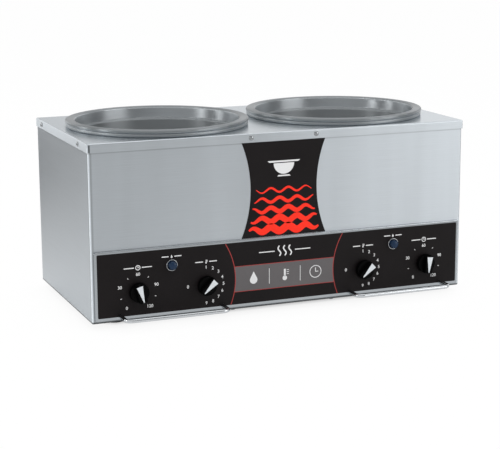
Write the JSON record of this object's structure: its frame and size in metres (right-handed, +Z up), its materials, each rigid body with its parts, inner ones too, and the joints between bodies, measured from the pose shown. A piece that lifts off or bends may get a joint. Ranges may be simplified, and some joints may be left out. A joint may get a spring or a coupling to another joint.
{
  "type": "countertop food warmer",
  "caption": "Free-standing stainless warmer with round wells, lift-out pans and a front control strip of timer and temperature knobs behind rod guards.",
  "frame": {"origin": "on the counter, under the middle of the whole object's box", "axes": "+X to the right seen from the front, +Y to the back, +Z up"},
  "size_m": [0.6244, 0.354, 0.2928],
  "materials": {
    "body_steel": "brushed stainless sheet, satin",
    "panel_steel": "brushed stainless sheet with bright folded edges",
    "pan_steel": "spun stainless, satin grey",
    "bright_steel": "polished steel rod and rings",
    "screw_steel": "plated steel fasteners",
    "base_steel": "zinc-coated steel sheet",
    "printed_film": "black printed film, satin",
    "knob_black": "black moulded plastic",
    "pointer_white": "pale inlay",
    "lens_blue": "dark blue-grey lens",
    "element_sheath": "dark oxidised heating sheath",
    "blanket_fibre": "glass-fibre blanket",
    "control_case": "dark moulded control case",
    "bulb_brass": "coppered bulb and capillary",
    "foot_rubber": "black rubber"
  },
  "bodies": {
    "housing": {"top_deck": "body_steel", "outer_wrap": "body_steel", "back_panel": "body_steel", "control_panel": "panel_steel", "left_well": "pan_steel", "right_well": "pan_steel", "left_knob_guard": "bright_steel", "right_knob_guard": "bright_steel", "left_lamp_bezel": "bright_steel", "right_lamp_bezel": "bright_steel", "deck_screws": "screw_steel", "back_screws": "screw_steel", "base_screws": "screw_steel", "foot_screws": "screw_steel", "bush_nuts": "screw_steel", "guard_nuts": "screw_steel", "clamp_nuts": "screw_steel", "panel_nuts": "screw_steel", "base_pan": "base_steel", "left_element_clamp": "base_steel", "right_element_clamp": "base_steel", "panel_overlay": "printed_film", "front_decal": "printed_film", "left_lamp_lens": "lens_blue", "right_lamp_lens": "lens_blue", "left_element": "element_sheath", "right_element": "element_sheath", "left_insulation": "blanket_fibre", "right_insulation": "blanket_fibre", "left_timer": "control_case", "right_timer": "control_case", "left_thermostat": "control_case", "right_thermostat": "control_case", "left_lamp_body": "control_case", "right_lamp_body": "control_case", "terminal_block": "control_case", "left_water_switch": "control_case", "right_water_switch": "control_case", "cord_gland": "control_case", "gland_nut": "control_case", "left_sensing_bulb": "bulb_brass", "right_sensing_bulb": "bulb_brass", "front_left_foot": "foot_rubber", "front_right_foot": "foot_rubber", "back_left_foot": "foot_rubber", "back_right_foot": "foot_rubber"},
    "left_timer_dial": {"left_timer_knob": "knob_black", "left_timer_pointer": "pointer_white", "left_timer_shaft": "screw_steel"},
    "left_temp_dial": {"left_temp_knob": "knob_black", "left_temp_pointer": "pointer_white", "left_temp_shaft": "screw_steel"},
    "right_temp_dial": {"right_temp_knob": "knob_black", "right_temp_pointer": "pointer_white", "right_temp_shaft": "screw_steel"},
    "right_timer_dial": {"right_timer_knob": "knob_black", "right_timer_pointer": "pointer_white", "right_timer_shaft": "screw_steel"},
    "left_pan": {"left_inset": "pan_steel"},
    "right_pan": {"right_inset": "pan_steel"}
  },
  "joints": [
    {"name": "left_timer_turn", "type": "hinge", "parent": "housing", "child": "left_timer_dial", "pos_m": [-0.2375, -0.1432, 0.0545], "axis": [0, 1, 0], "range_deg": [-124.5, 155.5]},
    {"name": "left_temp_turn", "type": "hinge", "parent": "housing", "child": "left_temp_dial", "pos_m": [-0.1295, -0.1432, 0.0545], "axis": [0, 1, 0], "range_deg": [-136, 134]},
    {"name": "right_temp_turn", "type": "hinge", "parent": "housing", "child": "right_temp_dial", "pos_m": [0.1355, -0.1432, 0.0545], "axis": [0, 1, 0], "range_deg": [-136, 134]},
    {"name": "right_timer_turn", "type": "hinge", "parent": "housing", "child": "right_timer_dial", "pos_m": [0.2435, -0.1432, 0.0545], "axis": [0, 1, 0], "range_deg": [-144.5, 135.5]},
    {"name": "left_inset_lift", "type": "slide", "parent": "housing", "child": "left_pan", "axis": [0, 0, 1], "range_m": [0, 0.2]},
    {"name": "right_inset_lift", "type": "slide", "parent": "housing", "child": "right_pan", "axis": [0, 0, 1], "range_m": [0, 0.2]}
  ]
}
